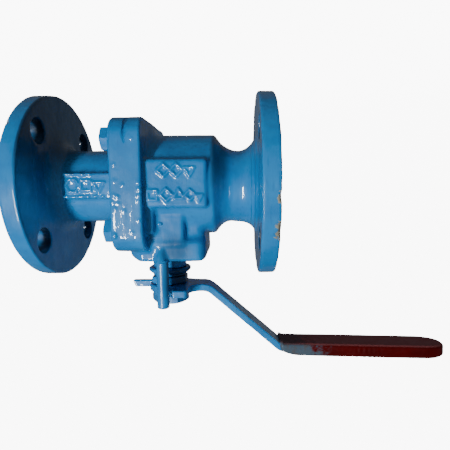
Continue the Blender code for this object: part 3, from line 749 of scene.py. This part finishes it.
def lever_field(p):
    """Cranked flat bar; its hub carries the lug and the tail that stop it at either end of its turn."""
    x, y, z = p
    hub = np.hypot(x, y) - HUB_R
    lug = box((x, y), STOP_LUG, (-STOP_SHOULDER - 0.05, 6.0), 2.2)
    tail = box((x, y), (-2.0, STOP_SHOULDER + 0.05), (40.0, TAIL_HALF_Y), 0.5)
    slant = (TAIL_END_X[0] - TAIL_END_X[1]) / LEVER_THICK
    end = (x - TAIL_END_X[0] + slant * (z - LEVER_Z[0])) / math.hypot(1, slant)
    head = blend(blend(hub, lug, 2.5), rounded([tail, end], 0.6), 1.5)
    plan = blend(np.maximum(strip_plan(x, y, 0.0, ARM_HALF), x - 4.0), head, 8.0)
    solid = rounded([plan, stroke(x, z, LEVER_LINE) - LEVER_THICK / 2], 1.0)
    hole = rounded([np.hypot(x, y) - STEM_R - GAP, np.abs(y) - FLAT_HALF - GAP], 0.2)
    return carve(solid, np.maximum(hole, LEVER_Z[0] - 3.5 - z), 0.3)


def grip_shell(p, grown, mouth, tip, r):
    """The sleeve's outline around the bar, grown from the bar's surface on all sides."""
    x, y, z = p
    line = stroke(x, z, LEVER_LINE) - LEVER_THICK / 2 - grown
    return rounded([strip_plan(x, y, grown, tip), line, x - mouth], r)


def grip_field(p):
    """Dipped sleeve round the bar, thicker towards its end, with a slanting edge above its mouth."""
    wall = GRIP_WALL[0] + (GRIP_WALL[1] - GRIP_WALL[0]) * smooth(-p[0], 90.0, 180.0)
    outer = grip_shell(p, wall, GRIP_MOUTH, GRIP_TIP, 2.6)
    slant = (p[0] - SLANT_AT[0]) * SLANT_WAY[0] + (p[2] - SLANT_AT[1]) * SLANT_WAY[1]
    outer = rounded([outer, slant], 2.0)
    inner = grip_shell(p, 0.25, GRIP_MOUTH + 6.0, ARM_HALF + 0.25, 1.1)
    return carve(outer, inner, 0.6)


def grip_relief(p):
    """Slight sag of the dipped vinyl, with small upright ridges on its front."""
    x, y, z = p
    patch = smooth(x, RIDGES_X[0], RIDGES_X[0] + 6.0) * smooth(-x, -RIDGES_X[1], 6.0 - RIDGES_X[1])
    patch = patch * smooth(-y, 8.0, 9.0)
    ridges = RIDGE_HEIGHT * patch * np.sin(x * 1.7) * lumps(p, 5.0, 1.3)
    return layered(p, SAG_LUMPS) + SAG_SETTLING + ridges


def paint_relief(p):
    """Uneven brushed paint on the small pieces."""
    return layered(p, BRUSHED) + BRUSHED_SETTLING


# ---- Materials ----

def principled(name, values):
    """A material and its Principled shader, with some of its values set."""
    material = bpy.data.materials.new(name)
    material.use_nodes = True
    shader = material.node_tree.nodes["Principled BSDF"]
    for socket, value in values.items():
        shader.inputs[socket].default_value = value
    return material, shader


class Finish:
    """A Principled material and short calls that wire nodes into it. Lengths are in millimetres."""

    def __init__(self, name, values):
        self.material, self.shader = principled(name, values)
        self.tree = self.material.node_tree
        at = self.node("TexCoord").outputs["Object"]
        per_mm = ((1 / MM,) * 3, tuple(-CENTRE / MM))
        self.place = self.node("VectorMath", at, *per_mm, operation="MULTIPLY_ADD").outputs[0]
        self.x, self.y, self.z = self.node("SeparateXYZ", self.place).outputs

    def node(self, kind, *values, **settings):
        """A new node with its settings, and its first inputs fed."""
        made = self.tree.nodes.new("ShaderNode" + kind)
        for key, value in settings.items():
            setattr(made, key, value)
        for socket, value in zip(made.inputs, values):
            self.feed(socket, value)
        return made

    def feed(self, socket, value):
        if isinstance(value, bpy.types.NodeSocket):
            self.tree.links.new(value, socket)
        else:
            socket.default_value = value

    def math(self, operation, *values):
        return self.node("Math", *values, operation=operation).outputs[0]

    def times(self, first, *others):
        for other in others:
            first = self.math("MULTIPLY", first, other)
        return first

    def most(self, first, *others):
        for other in others:
            first = self.math("MAXIMUM", first, other)
        return first

    def apart(self, value, at):
        return self.math("ABSOLUTE", self.math("SUBTRACT", value, at))

    def length(self, u, v):
        return self.math("SQRT", self.math("ADD", self.times(u, u), self.times(v, v)))

    def noise(self, size, detail=2.0, rough=0.5, stretch=(1.0, 1.0, 1.0)):
        """Noise from 0 to 1 with features about one size across, longer along the stretched axes."""
        scale = tuple(1 / (size * long) for long in stretch)
        scaled = self.node("VectorMath", self.place, scale, operation="MULTIPLY").outputs[0]
        made = self.node("TexNoise", scaled)
        for socket, value in (("Scale", 1.0), ("Detail", detail), ("Roughness", rough)):
            made.inputs[socket].default_value = value
        return made.outputs[0]

    def between(self, value, start, end, low=0.0, high=1.0):
        """Takes a value from start..end to low..high, smoothly and held at both ends."""
        values = (value, start, end, low, high)
        return self.node("MapRange", *values, interpolation_type="SMOOTHSTEP").outputs[0]

    def band(self, value, rise, fall):
        """1 on a stretch and 0 beyond it; each of its slopes is given from where it is 0 to where it is 1."""
        return self.times(self.between(value, *rise), self.between(value, *fall))

    def mix(self, amount, first, second):
        """Colour between two colours."""
        made = self.node("Mix", amount, data_type="RGBA")
        for socket, value in zip((made.inputs[6], made.inputs[7]), (first, second)):
            self.feed(socket, (*value, 1.0) if isinstance(value, tuple) else value)
        return made.outputs[2]

    def distance(self, x, y, z):
        away = self.node("VectorMath", self.place, (x, y, z), operation="DISTANCE")
        return away.outputs["Value"]

    def facing_up(self):
        """From -1 on an underside to 1 on a level top."""
        normal = self.node("NewGeometry").outputs["Normal"]
        return self.node("SeparateXYZ", normal).outputs[2]

    def bump(self, height, depth, under=None):
        """Adds relief of some millimetres to the shading, over an earlier bump."""
        made = self.node("Bump")
        made.inputs["Distance"].default_value = depth * MM
        self.feed(made.inputs["Height"], height)
        if under:
            self.feed(made.inputs["Normal"], under)
        return made.outputs[0]

    def wear(self, colour, rough, normal, metal=0.0):
        """Wires the finished channels into the shader."""
        for name, value in (("Base Color", colour), ("Roughness", rough), ("Metallic", metal),
                            ("Normal", normal), ("Coat Normal", normal)):
            self.feed(self.shader.inputs[name], value)
        return self.material


BLUE = (0.010, 0.160, 0.410)
BLUE_THIN = (0.018, 0.200, 0.480)
BLUE_DEEP = (0.004, 0.080, 0.240)
PRIMER = (0.27, 0.27, 0.21)
RUST = (0.070, 0.052, 0.034)
# the colour of painted shade, laid into holes, recesses and sides turned from the light
SHADE_COLOUR = (0.003, 0.008, 0.018)
# dust, made light enough to serve also as painted sheen on the lever's underside
DUST_AND_SHEEN = (0.42, 0.54, 0.66)
BARE_STEEL = (0.50, 0.49, 0.48)
DULL_STEEL = (0.34, 0.31, 0.28)
VINYL_RED = (0.050, 0.0002, 0.0002)
VINYL_WARM = (0.070, 0.0003, 0.0006)
# painted light: the grip's underside colour, lightened for the light and reflection it catches
VINYL_LIT_UNDERSIDE = (0.300, 0.085, 0.090)
VINYL_SOILED = (0.075, 0.055, 0.048)
OVERSPRAY = (0.052, 0.088, 0.118)
OVERSPRAY_TOP = (0.075, 0.062, 0.072)
SPECKS = (0.22, 0.10, 0.06)
GROOVE_PITCH = 0.8
RINGS_X = (-60.1, -62.6)


def enamel(name, gloss):
    """Thick brushed enamel: pooled and thin patches, orange peel and brush marks under a clear gloss.

    Returns the material with its colour, roughness and relief.
    """
    paint = Finish(name, {"Specular IOR Level": 0.2, "Coat Weight": 1.0, "Coat Roughness": gloss})
    patches = paint.noise(26.0, 3.0, 0.6)
    streaks = paint.noise(2.2, 2.0, 0.6, (1.0, 1.0, 7.0))
    colour = paint.mix(paint.between(patches, 0.35, 0.65), BLUE, BLUE_THIN)
    colour = paint.mix(paint.between(streaks, 0.55, 0.8, 0.0, 0.35), colour, BLUE_DEEP)
    rough = paint.between(paint.noise(7.0, 3.0, 0.6), 0.3, 0.7, 0.30, 0.45)
    normal = paint.bump(paint.noise(1.5, 2.0, 0.5), 0.03)
    normal = paint.bump(paint.noise(8.0, 2.0, 0.5), 0.14, normal)
    return paint, colour, rough, paint.bump(streaks, 0.06, normal)


def small_parts_material():
    """Enamel on gland, nuts, washers, pin and bolts, with painted shade beside the stem where the pin's
    shadow falls.
    """
    paint, colour, rough, normal = enamel("enamel_small", 0.22)
    # painted shade: the pin's shadow and the shaded recess beside the stem are darkened into the colour
    shade_behind_pin = paint.band(paint.z, (50.0, 52.0), (77.0, 73.0))
    shade_behind_pin = paint.times(shade_behind_pin, paint.between(paint.x, 1.0, -7.0, 0.0, 0.75))
    return paint.wear(paint.mix(shade_behind_pin, colour, SHADE_COLOUR), rough, normal)


def lever_material():
    """Enamel with dust and a painted sheen on the underside of the arm, lightened to stand in for the light
    it reflects.
    """
    paint, colour, rough, normal = enamel("enamel_lever", 0.10)
    # dust, and painted light: the arm's underside is lightened to stand in for the reflection it catches
    dust_sheen = paint.times(
        paint.between(paint.facing_up(), -0.45, -0.75), paint.between(paint.x, -38.0, -48.0),
        paint.between(paint.noise(9.0, 3.0, 0.6), 0.3, 0.5, 0.55, 1.0),
    )
    rough = paint.math("ADD", rough, paint.times(dust_sheen, 0.25))
    return paint.wear(paint.mix(dust_sheen, colour, DUST_AND_SHEEN), rough, normal)


def chips(paint, colour, rough):
    """Paint off the rims, down to primer and to rust in the middle."""
    torn = paint.between(paint.noise(2.4, 3.0, 0.65), 0.2, 0.8, -1.6, 1.6)
    chipped = core = 0.0
    for x, y, z, size in CHIPS:
        away = paint.math("ADD", paint.distance(x, y, z), torn)
        chipped = paint.most(chipped, paint.between(away, size, size - 0.5))
        core = paint.most(core, paint.between(away, size * 0.62, size * 0.40))
    below = paint.mix(core, PRIMER, RUST)
    below = paint.mix(paint.between(paint.noise(1.2, 2.0, 0.6), 0.45, 0.7, 0.0, 0.5), below, RUST)
    return paint.mix(chipped, colour, below), paint.most(rough, paint.times(chipped, 0.75))


def painted_shade(paint, colour, from_middle):
    """Painted shade in the flange holes, on the block's head, inside the adaptor flange and on the cone."""
    across = [paint.math("SUBTRACT", paint.math("ABSOLUTE", axis), HOLE_AT) for axis in (paint.y, paint.z)]
    past = paint.between(from_middle, HOLE_FROM_MIDDLE, HOLE_FROM_MIDDLE + 2.0)
    hole = paint.times(past, paint.between(paint.length(*across), HOLE_R + 0.7, HOLE_R + 0.1, 0.0, 0.93))
    paint.feed(paint.shader.inputs["Coat Weight"], paint.math("SUBTRACT", 1.0, hole))
    # painted shade on the block's head, the adaptor flange's inner face and the cone, where these lie in
    # shadow
    head = paint.between(paint.distance(-9.0, -30.0, 43.5), 14.0, 4.0, 0.0, 0.5)
    inside = paint.band(paint.x, (50.0, 68.0), (77.0, 76.0))
    inside = paint.times(inside, paint.between(paint.z, 2.0, -30.0, 0.0, 0.72))
    cone = paint.band(paint.x, (-32.0, -35.0), (-47.0, -41.0))
    cone = paint.times(cone, paint.between(paint.z, 12.0, -8.0, 0.1, 0.6))
    return paint.mix(paint.most(hole, head, inside, cone), colour, SHADE_COLOUR)


def castings_material():
    """Enamel with chips and painted shade; raised faces, bores and the whole inside are bare and turned."""
    paint, colour, rough, normal = enamel("enamel", 0.05)
    from_middle = paint.apart(paint.x, MIDDLE_X)
    colour, rough = chips(paint, colour, rough)
    colour = painted_shade(paint, colour, from_middle)
    radius = paint.length(paint.y, paint.z)
    face = paint.between(from_middle, HALF_LENGTH - 0.9, HALF_LENGTH - 0.4)
    bore = paint.between(radius, 20.6, 20.1)
    cavity = paint.times(paint.between(radius, 31.4, 31.0), paint.between(from_middle, 26.5, 26.2))
    bare = paint.most(face, bore, cavity)
    grain = paint.noise(1.6, 3.0, 0.7)
    steel = paint.mix(paint.between(grain, 0.35, 0.7), BARE_STEEL, DULL_STEEL)
    colour = paint.mix(bare, colour, steel)
    rough = paint.math("ADD", paint.times(rough, paint.math("SUBTRACT", 1.0, bare)),
                       paint.times(paint.between(grain, 0.2, 0.8, 0.28, 0.5), bare))
    rings = paint.most(*(paint.between(paint.apart(paint.x, at), 0.9, 0.0) for at in RINGS_X))
    normal = paint.bump(rings, 0.34, normal)
    grooves = paint.math("SINE", paint.times(radius, math.tau / GROOVE_PITCH))
    normal = paint.bump(paint.times(grooves, face), 0.05, normal)
    return paint.wear(colour, rough, normal, bare)


def vinyl_material():
    """Dipped vinyl, lightened on its underside as painted light, with paint overspray and specks at its
    mouth.
    """
    grip = Finish("vinyl", {"Specular IOR Level": 0.12, "Coat Weight": 0.06, "Coat Roughness": 0.2})
    up = grip.facing_up()
    mottle = grip.noise(11.0, 3.0, 0.6, (2.5, 1.0, 1.0))
    colour = grip.mix(grip.between(mottle, 0.35, 0.65), VINYL_RED, VINYL_WARM)
    # painted light: the underside is lightened to stand in for the light and reflections it catches
    under = grip.between(up, -0.50, -0.92)
    colour = grip.mix(grip.times(under, 0.85), colour, VINYL_LIT_UNDERSIDE)
    along = grip.math("ADD", grip.x, grip.between(grip.noise(6.0, 4.0, 0.7), 0.2, 0.8, -9.0, 9.0))
    spray = grip.between(along, -111.0, -103.0)
    front = grip.times(spray, grip.between(up, -0.95, -0.45))
    colour = grip.mix(grip.times(front, 0.9), colour, OVERSPRAY)
    top = grip.times(grip.between(along, -104.0, -92.0), under)
    colour = grip.mix(grip.times(top, 0.7), colour, OVERSPRAY_TOP)
    specks = grip.between(grip.noise(1.3, 3.0, 0.7), 0.66, 0.74, 0.0, 0.6)
    colour = grip.mix(grip.times(specks, spray), colour, SPECKS)
    soiled = grip.between(grip.noise(4.0, 4.0, 0.7), 0.50, 0.62, 0.0, 0.55)
    colour = grip.mix(grip.times(soiled, spray), colour, VINYL_SOILED)
    rough = grip.between(grip.noise(5.0, 3.0, 0.6), 0.3, 0.7, 0.34, 0.52)
    rough = grip.math("ADD", rough, grip.times(spray, 0.2))
    normal = grip.bump(grip.noise(0.9, 2.0, 0.5), 0.04)
    return grip.wear(colour, rough, grip.bump(grip.noise(3.2, 3.0, 0.6), 0.12, normal))


def polished_material():
    """Polished ball: faint lap marks round its axis."""
    steel = Finish("polished_steel", {})
    laps = steel.noise(0.5, 2.0, 0.6, (1.0, 12.0, 12.0))
    colour = steel.mix(steel.noise(14.0, 2.0, 0.5), (0.70, 0.70, 0.71), (0.78, 0.77, 0.75))
    rough = steel.between(laps, 0.3, 0.7, 0.08, 0.17)
    return steel.wear(colour, rough, steel.bump(laps, 0.01), 1.0)


def stem_material():
    """Turned stem, painted over from the gland up."""
    stem = Finish("stem_steel", {})
    rings = stem.noise(0.4, 2.0, 0.6, (20.0, 20.0, 1.0))
    edge = stem.math("ADD", stem.z, stem.between(stem.noise(3.0, 2.0, 0.5), 0.2, 0.8, -0.6, 0.6))
    painted = stem.between(edge, 62.8, 63.2)
    steel = stem.mix(rings, (0.50, 0.50, 0.51), (0.62, 0.61, 0.60))
    blue = stem.mix(stem.noise(5.0, 2.0, 0.5), BLUE, BLUE_THIN)
    colour = stem.mix(painted, steel, blue)
    rough = stem.between(rings, 0.3, 0.7, 0.22, 0.34)
    return stem.wear(colour, rough, stem.bump(rings, 0.02), stem.math("SUBTRACT", 1.0, painted))


def seal_material():
    """Machined fluoropolymer: waxy white with faint tool rings."""
    seal = Finish("fluoropolymer", {"Subsurface Weight": 0.15, "Subsurface Scale": 0.002})
    rings = seal.noise(0.6, 2.0, 0.5, (1.0, 10.0, 10.0))
    colour = seal.mix(seal.noise(6.0, 3.0, 0.6), (0.86, 0.85, 0.81), (0.78, 0.77, 0.73))
    return seal.wear(colour, seal.between(rings, 0.3, 0.7, 0.38, 0.52), seal.bump(rings, 0.03))


def graphite_material():
    """Pressed graphite with flakes."""
    ring = Finish("pressed_graphite", {})
    flakes = ring.noise(1.0, 4.0, 0.7)
    colour = ring.mix(ring.between(flakes, 0.35, 0.7), (0.035, 0.035, 0.038), (0.11, 0.11, 0.12))
    rough = ring.between(flakes, 0.3, 0.7, 0.65, 0.35)
    return ring.wear(colour, rough, ring.bump(flakes, 0.08), 0.25)


# ---- Assembly ----

def place(piece, node, body, slot):
    """Lets a piece stand for a CAD node on a body; the slot is not used."""
    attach(piece, body)
    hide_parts(node)


def build(name, node, body, slot, material, field, step, relief=None):
    """Makes one piece from its field inside the box of the node that it replaces."""
    points, quads = surface(field, *node_box(node), step, relief)
    place(new_piece(name, points, quads, material), node, body, slot)


def assemble():
    """Builds every piece; nodes that nothing stands for keep their shape and only take a material."""
    for piece, node in zip(make_castings(castings_material()), ("body", "adaptor")):
        place(piece, node, "casing", "blue_paint")
    seal = seal_material()
    graphite = graphite_material()
    build("ball_polished", "ball", "closure", "polished_steel", polished_material(), ball_field, 0.8)
    for side, node in ((-1, "seat_ring_body"), (1, "seat_ring_adaptor")):
        build(node + "_moulded", node, "casing", "white_seal", seal, partial(seat_field, side), 0.7)
    build("stem_turned", "stem", "handle", "steel", stem_material(), stem_field, 0.4)

    small_enamel = small_parts_material()
    casing, handle = ("casing", "blue_paint", small_enamel), ("handle", "blue_paint", small_enamel)
    gland, spring = partial(lathe_field, GLAND_PROFILE), partial(lathe_field, SPRING_PROFILE)
    build("gland_painted", "gland_follower", *casing, gland, 0.4, paint_relief)
    build("stop_pin_painted", "stop_pin", *casing, pin_field, 0.4)
    for number in range(1, 5):
        node = "body_bolt_%d" % number
        low, high = node_box(node)
        bolt = partial(bolt_field, (low[1] + high[1]) / 2, (low[2] + high[2]) / 2)
        build(node + "_painted", node, *casing, bolt, 0.45, paint_relief)
    build("disc_spring_painted", "disc_spring", *handle, spring, 0.3)
    build("stem_nut_painted", "stem_nut", *handle, partial(nut_field, *STEM_NUT), 0.4, paint_relief)
    build("lock_washer_painted", "lever_lock_washer", *handle, washer_field, 0.35)
    build("lever_nut_painted", "lever_nut", *handle, partial(nut_field, *LEVER_NUT), 0.4, paint_relief)
    painted, red = ("handle", "blue_paint", lever_material()), ("handle", "red_grip", vinyl_material())
    build("lever_forged", "lever", *painted, lever_field, 0.55, paint_relief)
    build("grip_dipped", "grip_sleeve", *red, grip_field, 0.6, grip_relief)

    carried = {"packing_ring_%d" % number: graphite for number in range(1, 4)}
    carried.update(body_gasket=graphite, thrust_washer=seal)
    for node, material in carried.items():
        for slot in frame["nodes"][node].material_slots:
            slot.material = material


# ---- Studio ----

LENS = 29.33
CAMERA_AT = (-49.62, -267.15, 2.82)
AHEAD = (0.03126, 0.99453, 0.09963)
RIGHT = (-0.99946, 0.03001, 0.01391)
BACKDROP_GLOW = 9.0
ROOM_COLOUR = (0.85, 0.92, 1.0, 1)
ROOM_LIGHT = 0.12
FLOOR_Z = -0.35
FLOOR_REACH = 30.0
FLOOR_COLOUR = (0.86, 0.86, 0.86, 1)
WHITE = (1, 1, 1, 1)
# name, azimuth, elevation, distance in metres, size, watts, colour and whether it shows in reflections;
# azimuth 0 is in front of the valve and grows towards +X
LIGHTS = [
    ("window", 23.5, 20, 1.0, (0.075, 0.58), 12.0, (0.93, 0.97, 1.0), True),
    ("sky", 14, 18, 1.3, (0.7, 0.9), 4.2, (0.90, 0.95, 1.0), False),
    ("behind", 195, 30, 1.3, (1.0, 1.0), 9.0, (1.0, 1.0, 1.0), False),
    ("ceiling", -10, -62, 1.2, (1.0, 1.0), 0.8, (1.0, 0.82, 0.72), False),
]


def add_camera():
    """The valve is seen upside down, slightly from below its stem and nearly square to the bore."""
    view = bpy.data.cameras.new("view")
    view.sensor_width = 36.0
    view.lens = LENS
    view.clip_start = 0.01
    camera = add_object("view", view)
    ahead, right = Vector(AHEAD).normalized(), Vector(RIGHT).normalized()
    turn = Matrix((right, right.cross(ahead), -ahead)).transposed().to_4x4()
    place_at = Vector(CENTRE) + Vector(CAMERA_AT) * MM
    camera.matrix_world = Matrix.Translation(place_at) @ turn
    bpy.context.scene.camera = camera


def softbox(name, azimuth, elevation, distance, size, power, colour, mirrored):
    """An area light aimed at the ball."""
    light = bpy.data.lights.new(name, "AREA")
    light.shape = "RECTANGLE"
    light.size, light.size_y = size
    light.energy = power
    light.color = colour
    lamp = add_object(name, light)
    a, e = math.radians(azimuth), math.radians(elevation)
    way = Vector((math.sin(a) * math.cos(e), -math.cos(a) * math.cos(e), math.sin(e)))
    lamp.location = Vector(CENTRE) + way * distance
    lamp.rotation_euler = (-way).to_track_quat("-Z", "Y").to_euler()
    lamp.visible_glossy = mirrored


def add_world():
    """A white backdrop for the camera, and a dim cool room for everything that the surfaces reflect."""
    world = bpy.data.worlds.new("studio")
    bpy.context.scene.world = world
    world.use_nodes = True
    nodes, links = world.node_tree.nodes, world.node_tree.links
    nodes.clear()
    mix = nodes.new("ShaderNodeMixShader")
    links.new(nodes.new("ShaderNodeLightPath").outputs["Is Camera Ray"], mix.inputs["Fac"])
    for socket, colour, strength in ((1, ROOM_COLOUR, ROOM_LIGHT), (2, WHITE, BACKDROP_GLOW)):
        glow = nodes.new("ShaderNodeBackground")
        glow.inputs["Color"].default_value = colour
        glow.inputs["Strength"].default_value = strength
        links.new(glow.outputs[0], mix.inputs[socket])
    links.new(mix.outputs[0], nodes.new("ShaderNodeOutputWorld").inputs["Surface"])


def add_floor():
    """A plain pale floor, well below the valve as pipes hold it."""
    mesh = bpy.data.meshes.new("floor")
    corners = [(x * FLOOR_REACH, y * FLOOR_REACH, 0) for x, y in ((-1, -1), (1, -1), (1, 1), (-1, 1))]
    mesh.from_pydata(corners, [], [(0, 1, 2, 3)])
    floor = add_object("floor", mesh)
    floor.location = (0, 0, FLOOR_Z)
    look = {"Base Color": FLOOR_COLOUR, "Roughness": 0.9,
            "Emission Color": WHITE, "Emission Strength": BACKDROP_GLOW}
    mesh.materials.append(principled("pale_floor", look)[0])
    floor.visible_diffuse = False
    floor.visible_glossy = False
    floor.visible_shadow = False


assemble()
add_camera()
add_world()
add_floor()
for light in LIGHTS:
    softbox(*light)
